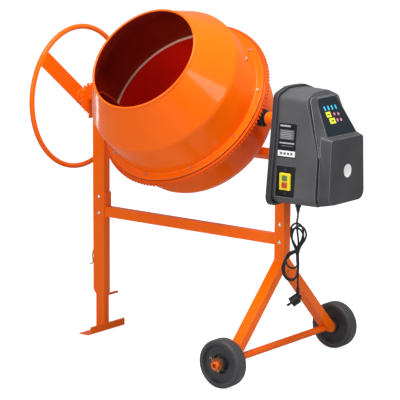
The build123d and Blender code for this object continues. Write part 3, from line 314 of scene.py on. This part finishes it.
FLOOR = floor_material()
ORANGE = paint("orange_paint", (0.90, 0.135, 0.001), (0.85, 0.118, 0.001), (0.92, 0.20, 0.04))
ORANGE_GEAR = paint("gear_paint", (0.80, 0.100, 0.003), (0.62, 0.06, 0.002), (0.86, 0.15, 0.03))
# The drum's inside: the orange paint darkened to deep red as painted shade.
CONE_PAINTED_SHADE = painted_shade_inside("cone_painted_shade", (0.26, 0.012, 0.002), (0.32, 0.020, 0.004))
BOWL_PAINTED_SHADE = painted_shade_inside("bowl_painted_shade", (0.90, 0.014, 0.004), (0.66, 0.014, 0.004))
# The seam's pale ledge is a painted highlight and its dark line a painted shade.
SEAM_HIGHLIGHT = printed("seam_highlight", (1.0, 0.62, 0.50))
SEAM_SHADE = printed("seam_shade", (0.10, 0.012, 0.002))
# The housing, its front cover and its rim take strong painted edge highlights.
HOUSING = moulded("housing_plastic", (0.070, 0.070, 0.075), 0.40, 700.0, 0.3, highlight_gain=3.6)
# The front cover's plastic is the housing's own, made darker as painted shade.
FRONT_PAINTED_SHADE = moulded("front_plastic_painted_shade", (0.044, 0.044, 0.049), 0.36, 700.0, 0.3, highlight_gain=5.5)
RIM = moulded("rim_plastic", (0.030, 0.031, 0.034), 0.36, highlight_gain=5.0)
WHEEL = moulded("wheel_plastic", (0.036, 0.036, 0.040), 0.42)
TYRE = moulded("tyre_rubber", (0.042, 0.042, 0.046), 0.45)
BLACK = moulded("black_plastic", (0.012, 0.012, 0.013), 0.35)
CORD = moulded("cord_rubber", (0.010, 0.010, 0.011), 0.4, 600.0, 0.1)
LABEL = moulded("label_gloss", (0.003, 0.010, 0.015), 0.3, 500.0, 0.02, 1.2,
                Coat_Weight=0.2, Coat_Roughness=0.04)
ZINC = metal("zinc_steel", (0.80, 0.74, 0.64), 0.32)
# Brown on the axle's washers and pins is a painted reflection of the orange paint around them.
STEEL_PAINTED_REFLECTION = metal("steel_painted_reflection", (0.36, 0.17, 0.09), 0.5)
WIRE = metal("wire_steel", (0.22, 0.20, 0.19), 0.45)
STEEL = metal("machined_steel", (0.55, 0.54, 0.53), 0.35)
IRON = metal("cast_iron", (0.10, 0.10, 0.105), 0.55)
BRONZE = metal("bronze", (0.60, 0.42, 0.20), 0.4)
ALUMINIUM = metal("motor_aluminium", (0.55, 0.56, 0.58), 0.45)
YELLOW = moulded("switch_yellow", (0.80, 0.66, 0.02), 0.38, 700.0, 0.1, 1.05)
GREEN = moulded("button_green", (0.12, 0.19, 0.08), 0.35, 700.0, 0.1)
RED = moulded("button_red", (0.45, 0.06, 0.03), 0.35, 700.0, 0.1)
WHITE = printed("print_white", (0.85, 0.85, 0.85))
PALE = printed("print_pale", (0.42, 0.43, 0.44))
GREY = printed("print_grey", (0.13, 0.13, 0.14))
BLUE = printed("print_blue", (0.06, 0.55, 0.78))
YELLOW_INK = printed("print_yellow", (0.75, 0.72, 0.05))
PINK = printed("print_pink", (0.62, 0.20, 0.32))
INK = printed("print_black", (0.012, 0.012, 0.014))


# ---------------------------------------------------------------- mesh helpers

LATHE_SHARP = 28.0
CORNER_STEPS = 4
TILE_ROOT = -0.4

def mesh_object(name, points, faces):
    """A new object in the scene from points in metres and its faces."""
    mesh = bpy.data.meshes.new(name)
    mesh.from_pydata([tuple(p) for p in points], [], faces)
    mesh.update()
    made = bpy.data.objects.new(name, mesh)
    bpy.context.scene.collection.objects.link(made)
    return made


def smooth(obj, angle=35.0):
    """Smooth shading, kept sharp at edges over the angle."""
    for face in obj.data.polygons:
        face.use_smooth = True
    obj.data.set_sharp_from_angle(angle=math.radians(angle))


def bevel(obj, width, segments=3, angle=35.0):
    """Rounds an object's edges by a modifier."""
    modifier = obj.modifiers.new("rounding", "BEVEL")
    modifier.width = width
    modifier.segments = segments
    modifier.limit_method = "ANGLE"
    modifier.angle_limit = math.radians(angle)
    modifier.use_clamp_overlap = True
    modifier.harden_normals = True


def rounded(corners, count=5):
    """A closed profile from (radius, height, rounding, kind) corners; kind is the edge's material."""
    points, kinds = [], []
    for index, (r, s, size, kind) in enumerate(corners):
        here = Vector((r, s))
        before = Vector(corners[index - 1][:2]) - here
        after = Vector(corners[(index + 1) % len(corners)][:2]) - here
        if not size:
            points.append((r, s))
            kinds.append(kind)
            continue
        start, end = here + before.normalized() * size, here + after.normalized() * size
        for step in range(count + 1):
            t = step / count
            spot = start * (1 - t) ** 2 + here * 2 * t * (1 - t) + end * t * t
            points.append(tuple(spot))
            kinds.append(kind)
    return points, kinds


def lathe(name, corners, place, materials, body, replaced, segments=192):
    """Turns a closed profile in millimetres about Z, then puts it in place as a piece."""
    profile, kinds = rounded(corners)
    points, faces, count = [], [], len(profile)
    for step in range(segments):
        turn = 2 * math.pi * step / segments
        for r, s in profile:
            spot = Vector((r * math.cos(turn), r * math.sin(turn), s))
            points.append(place @ (spot * MM))
    for step in range(segments):
        here, there = step * count, (step + 1) % segments * count
        for index in range(count):
            after = (index + 1) % count
            faces.append((here + index, there + index, there + after, here + after))
    made = mesh_object(name, points, faces)
    for material in materials:
        made.data.materials.append(material)
    for face in made.data.polygons:
        face.material_index = kinds[face.index % count]
    tidy_normals(made)
    smooth(made, LATHE_SHARP)
    return finish_piece(made, body, replaced)


def tidy_normals(obj):
    """Turns every face outwards."""
    work = bmesh.new()
    work.from_mesh(obj.data)
    bmesh.ops.recalc_face_normals(work, faces=work.faces)
    work.to_mesh(obj.data)
    work.free()


def finish_piece(obj, body, replaced=()):
    """Puts a piece on its body, and hides the CAD nodes that it replaces."""
    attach(obj, body)
    if replaced:
        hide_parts(*replaced)
    return obj


def tile(name, centre, across, down, size, lift, material, body, corner=0.25):
    """A thin printed or moulded tile with rounded corners, lying on a flat face."""
    normal = down.cross(across).normalized()
    half_w, half_h = size[0] / 2, size[1] / 2
    radius = min(half_w, half_h) * corner * 2
    outline = []
    for sx, sy, first in ((1, 1, 0), (-1, 1, 90), (-1, -1, 180), (1, -1, 270)):
        for step in range(CORNER_STEPS + 1):
            a = math.radians(first + 90 / CORNER_STEPS * step)
            u = sx * (half_w - radius) + radius * math.cos(a)
            v = sy * (half_h - radius) + radius * math.sin(a)
            outline.append((u, v))
    points = []
    for height in (TILE_ROOT, lift):
        for u, v in outline:
            points.append(centre + (across * u - down * v + normal * height) * MM)
    n = len(outline)
    faces = [tuple(range(n)), tuple(reversed(range(n, 2 * n)))]
    faces += [(i, i + n, (i + 1) % n + n, (i + 1) % n) for i in range(n)]
    made = mesh_object(name, points, faces)
    made.data.materials.append(material)
    tidy_normals(made)
    return finish_piece(made, body)


# ---------------------------------------------------------------- carried-over CAD nodes

WELD_REACH = 0.00002
FLAT_ANGLE = 0.6
FRAME_EDGE = 0.0016
SMALL_EDGE = 0.0012
HOUSING_EDGE = 0.0024
RIM_EDGE = 0.0022
HOUSING_ANGLE = 30.0

def dress(names, material, width=0.0, angle=35.0):
    """Gives CAD nodes their material, and softens their edges without changing the mesh."""
    for name in names.split():
        obj = NODES[name]
        obj.data.materials.clear()
        obj.data.materials.append(material)
        if width:
            if "custom_normal" in obj.data.attributes:
                obj.data.attributes.remove(obj.data.attributes["custom_normal"])
            weld = obj.modifiers.new("weld", "WELD")
            weld.merge_threshold = WELD_REACH
            flat = obj.modifiers.new("flat", "DECIMATE")
            flat.decimate_type = "DISSOLVE"
            flat.angle_limit = math.radians(FLAT_ANGLE)
            bevel(obj, width, 3, angle)
            for face in obj.data.polygons:
                face.use_smooth = True


dress("left_post right_post cross_beam beam_brackets lower_leg foot", ORANGE, FRAME_EDGE)
dress("front_leg rear_leg motor_plate", ORANGE, FRAME_EDGE)
dress("yoke_bar yoke_arm_left yoke_arm_right lock_disc lock_lever", ORANGE, SMALL_EDGE)
dress("handwheel axle drum_cone drum_bowl left_trunnion leg_pin", ORANGE)
# The blades inside the drum take the same painted shade.
dress("mixing_blades", CONE_PAINTED_SHADE)
dress("ring_gear", ORANGE_GEAR)
dress("frame_bolts handwheel_bolts drum_bolts", ZINC)
# The axle's fasteners take a painted orange reflection.
dress("axle_fasteners", STEEL_PAINTED_REFLECTION)
dress("wire_clip", WIRE)
dress("right_trunnion drum_spindle pinion_shaft hub_bearings rotor", STEEL)
dress("left_bush pinion_bearings", BRONZE)
dress("drum_hub pinion_gear big_pulley motor_pulley", IRON)
dress("motor", ALUMINIUM)
dress("main_cover", HOUSING, HOUSING_EDGE, HOUSING_ANGLE)
# The front cover's darker plastic is painted shade.
dress("front_cover", FRONT_PAINTED_SHADE, HOUSING_EDGE, HOUSING_ANGLE)
dress("hub_cap", HOUSING)
dress("switch_panel", BLACK, SMALL_EDGE)
dress("back_cover", RIM, RIM_EDGE, HOUSING_ANGLE)
dress("capacitor", RIM)
dress("label_panel", LABEL)
dress("rim_front rim_rear", WHEEL)
dress("tyre_front tyre_rear", TYRE)
dress("drive_belt cord_gland", BLACK)
dress("cover_screws", IRON)
dress("cord_lead cord_hank cord_tail plug", CORD)
dress("switch_box", YELLOW, SMALL_EDGE)
dress("start_button", GREEN, SMALL_EDGE)
dress("stop_button", RED, SMALL_EDGE)


# ---------------------------------------------------------------- drum

FLANGE_R = 325.0
SEAM_S = 47.0
FLANGE_SHEET = 3.5
WAIST_R = 299.0
CREASE_R = 296.0
CREASE_S = 193.0
MOUTH_S = 333.0
BEAD_R = 203.5
BEAD = 4.5
BOWL_R = 288.0
BOWL_S = -92.0
BOWL_FLOOR_R = 150.0
BOWL_FLOOR_S = -190.0
HUB_HOLE_R = 24.0
DRUM_SHEET = 3.0
SEAM_GAP = 0.1
DOME_STEPS = 12
# SEAM marks the ledge's painted highlight, SHADE the painted shade on the flange's edge.
OUTSIDE, INSIDE, SEAM, SHADE = range(4)


def bead_corners():
    """The rolled edge of the mouth, from under its outside round to its inside."""
    corners = []
    for turn in range(-50, 211, 20):
        a = math.radians(turn)
        kind = OUTSIDE if turn < 150 else INSIDE
        corners.append((BEAD_R + BEAD * math.cos(a), MOUTH_S + BEAD * math.sin(a), 0, kind))
    return corners


def dome_corners(sheet, kind):
    """The bowl's round bottom, a sheet's thickness inside its outer surface."""
    corners = []
    for step in range(DOME_STEPS + 1):
        a = math.radians(90 * step / DOME_STEPS)
        r = BOWL_FLOOR_R + (BOWL_R - BOWL_FLOOR_R - sheet) * math.cos(a)
        s = BOWL_S + (BOWL_FLOOR_S - BOWL_S + sheet) * math.sin(a)
        corners.append((r, s, 0, kind))
    return corners


def add_upper_half():
    """The pressed cone of the drum, painted orange outside and given painted shade inside."""
    waist = WAIST_R - DRUM_SHEET
    corners = [
        (FLANGE_R, SEAM_S + SEAM_GAP, 0.6, OUTSIDE),
        (FLANGE_R, SEAM_S + FLANGE_SHEET, 1.2, OUTSIDE),
        (WAIST_R, SEAM_S + FLANGE_SHEET, 5, OUTSIDE),
        (CREASE_R, CREASE_S, 12, OUTSIDE),
        *bead_corners(),
        (CREASE_R - DRUM_SHEET, CREASE_S - 1, 11, INSIDE),
        (waist, SEAM_S + 2, 0, INSIDE),
        (waist, SEAM_S + SEAM_GAP, 0, OUTSIDE),
    ]
    finishes = (ORANGE, CONE_PAINTED_SHADE)
    lathe("drum_upper_half", corners, DRUM_PLACE, finishes, "drum", ("drum_cone",))


def add_lower_half():
    """The pressed bowl of the drum, given painted shade inside, with a painted highlight on the ledge and
    a painted shade line at its seam.
    """
    corners = [
        (BOWL_R - DRUM_SHEET, SEAM_S - SEAM_GAP, 0, SEAM),
        (FLANGE_R, SEAM_S - SEAM_GAP, 0, SHADE),
        (FLANGE_R, SEAM_S - FLANGE_SHEET, 0, OUTSIDE),
        (BOWL_R, SEAM_S - FLANGE_SHEET, 2, OUTSIDE),
        *dome_corners(0, OUTSIDE),
        (HUB_HOLE_R, BOWL_FLOOR_S, 0, OUTSIDE),
        (HUB_HOLE_R, BOWL_FLOOR_S + DRUM_SHEET, 0, INSIDE),
        *reversed(dome_corners(DRUM_SHEET, INSIDE)),
    ]
    finishes = (ORANGE, BOWL_PAINTED_SHADE, SEAM_HIGHLIGHT, SEAM_SHADE)
    lathe("drum_lower_half", corners, DRUM_PLACE, finishes, "drum", ("drum_bowl",))


add_upper_half()
add_lower_half()


# ---------------------------------------------------------------- labels on the housing

LABEL_TOP = at(594.0, 0, 988.0)
LABEL_FOOT = at(664.0, 0, 860.0)
BOX_FRONT = 687.0
SIDE_BACK_X = 458.0
SIDE_HALF = 134.0
SIDE_LEAN = 31.0 / 368.0
SIDE_DRAFT = 7.0 / 202.0
SIDE_BOTTOM = 620.0
BADGE_Y = 4
BADGE_Z = 739
BADGE_R = 23
BADGE_RIM_R = 19.5
BADGE_ROOT = -0.5
BADGE_PROUD = 0.6
BADGE_DISH = 0.3
BADGE_PINHOLE = 0.01
LABEL_PROUD = 1.2


def side_wall(x, z):
    """A point on the housing's side wall, which leans in towards its top and its front."""
    y = -SIDE_HALF + SIDE_LEAN * (z - SIDE_BOTTOM) + SIDE_DRAFT * (x - SIDE_BACK_X)
    return at(x, y, z)


def add_label_marks():
    """Generic marks on the sloping label: a row of bars, two blocks and four small ones."""
    down = (LABEL_FOOT - LABEL_TOP).normalized()
    across = Vector((0, 1, 0))
    lift = down.cross(across) * LABEL_PROUD * MM

    def mark(name, y, run, size, material, corner=0.25):
        """A tile, by its place across the label and its distance down it."""
        centre = LABEL_TOP + across * y * MM + down * run * MM + lift
        tile(name, centre, across, down, size, 0.25, material, "frame", corner)

    for index in range(4):
        mark(f"label_bar_{index}", -37 + 22 * index, 43, (8, 17), BLUE, 0.5)
    mark("label_block_upper", -29, 66, (28, 20), YELLOW_INK, 0.1)
    mark("label_block_upper_bar", -29, 66, (16, 4), INK, 0.5)
    mark("label_block_lower", -21, 90, (34, 20), YELLOW_INK, 0.1)
    mark("label_block_lower_bar", -21, 90, (20, 4), INK, 0.5)
    for index, (y, run) in enumerate(((5, 67), (28, 69), (9, 90), (30, 91))):
        mark(f"label_dot_{index}", y, run, (11, 12), PINK, 0.5)


def add_rating_plate():
    """A dark plate on the side wall with pale strips in place of its text."""
    corner = side_wall(480, 840)
    across = (side_wall(550, 840) - corner).normalized()
    down = (side_wall(480, 790) - corner).normalized()
    middle = side_wall(515, 840)

    def strip(name, u, v, size, material, lift=0.55):
        """A flat strip, by its centre across and down from the plate's middle."""
        centre = middle + (across * u + down * v) * MM
        tile(name, centre, across, down, size, lift, material, "frame", 0.06)

    strip("rating_plate", 0, 0, (72, 117), INK, 0.4)
    strip("rating_strip_top", -10, -50, (42, 6), PALE)
    strip("rating_panel", -2, -20, (58, 34), GREY)
    for index in range(5):
        strip(f"rating_row_{index}", -4, -32 + 6 * index, (50 - 5 * (index % 2), 1.6), PALE, 0.7)
    strip("rating_strip_middle", 0, 9, (60, 5), PALE)
    strip("rating_strip_low", 2, 19, (48, 3.5), GREY)
    strip("rating_strip_white", 0, 45, (70, 20), WHITE)
    for index in range(4):
        strip(f"rating_bar_{index}", -21 + 14 * index, 45, (9, 8), GREY, 0.7)


def add_badge():
    """A plain round pale badge with a raised rim and no mark, on the front of the housing."""
    place = Matrix.Translation(at(BOX_FRONT, BADGE_Y, BADGE_Z)) @ Matrix.Rotation(math.pi / 2, 4, "Y")
    profile = [
        (BADGE_PINHOLE, BADGE_ROOT, 0, 0),
        (BADGE_R, BADGE_ROOT, 0, 0),
        (BADGE_R, BADGE_PROUD, 0.3, 0),
        (BADGE_RIM_R, BADGE_PROUD, 0.3, 0),
        (BADGE_RIM_R - 1, BADGE_DISH, 0, 0),
        (BADGE_PINHOLE, BADGE_DISH, 0, 0),
    ]
    lathe("front_badge", profile, place, (WHITE,), "frame", (), 96)


add_label_marks()
add_rating_plate()
add_badge()


# ---------------------------------------------------------------- mains lead

GLAND_LOW, GLAND_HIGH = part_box("cord_gland")
GLAND_MIDDLE = (Vector(GLAND_LOW) + Vector(GLAND_HIGH)) / 2
GLAND_MOUTH = Vector((GLAND_MIDDLE.x, GLAND_MIDDLE.y, GLAND_LOW[2]))
CORD_DIAMETER = 7.0 * MM

# The lead's route, in millimetres from the gland's mouth: down to the waist of the hank, three rounds of a
# lower and an upper loop, each in a layer of its own, and down again to the plug.
LEAD_ROUTE = [
    (0, 0, 0), (0, 0, -13), (-5, 2, -28), (-8, 6, -44), (-8, 8, -66), (-4, 8, -88),
    (1, 5, -108), (-3, 4, -127),
]
LOOP_ROUTE = [
    (-15, 5, -143), (-38, 8, -152), (-59, 9, -173), (-70, 9, -202), (-66, 9, -227), (-51, 9, -244),
    (-28, 9, -247), (-11, 9, -233), (-4, 9, -211), (-4, 8, -188), (-7, 7, -166), (-6, 7, -144),
    (-8, 6, -124), (-20, 3, -106), (-30, 2, -88), (-28, 2, -67), (-12, 2, -54), (8, 2, -56),
    (22, 2, -71), (23, 2, -93), (12, 3, -112), (0, 4, -130), (-16, 3, -144), (-36, 2, -156),
    (-52, 2, -176), (-57, 2, -200), (-55, 2, -223), (-40, 2, -239), (-18, 2, -240), (-2, 2, -225),
    (2, 2, -203), (0, 2, -180), (-3, 2, -156), (-6, 0, -134), (-12, -4, -116), (-20, -5, -96),
    (-24, -5, -74), (-25, -5, -52), (-10, -5, -37), (10, -5, -36), (26, -5, -50), (27, -5, -72),
    (20, -5, -94), (8, -4, -116), (-6, -4, -134), (-28, -6, -141), (-44, -6, -159), (-45, -6, -181),
    (-31, -6, -196), (-9, -6, -197), (7, -6, -183), (8, -6, -161), (3, -7, -142), (-4, -9, -122),
    (-16, -11, -98), (-16, -11, -72), (-4, -11, -50), (15, -11, -41), (35, -11, -47), (45, -11, -68),
    (38, -11, -90), (24, -10, -107), (12, -7, -125),
]
TAIL_ROUTE = [
    (7, -6, -146), (9, -6, -168), (8, -4, -192), (4, -1, -217), (3, 0, -238), (3, 0, -246),
    (4, 0, -254), (4, 0, -262),
]


def add_cord():
    """The mains lead as one smooth curve, which replaces its three CAD solids."""
    curve = bpy.data.curves.new("mains_lead", "CURVE")
    curve.dimensions = "3D"
    curve.bevel_depth = CORD_DIAMETER / 2
    curve.bevel_resolution = 5
    curve.resolution_u = 10
    curve.use_fill_caps = True
    route = [GLAND_MOUTH + Vector(point) * MM for point in LEAD_ROUTE + LOOP_ROUTE + TAIL_ROUTE]
    spline = curve.splines.new("NURBS")
    spline.points.add(len(route) - 1)
    for point, place in zip(spline.points, route):
        point.co = (*place, 1)
    spline.order_u = 3
    spline.use_endpoint_u = True
    curve.materials.append(CORD)
    lead = bpy.data.objects.new("mains_lead", curve)
    bpy.context.scene.collection.objects.link(lead)
    finish_piece(lead, "frame", ("cord_lead", "cord_hank", "cord_tail"))


add_cord()
add_camera()
add_studio()
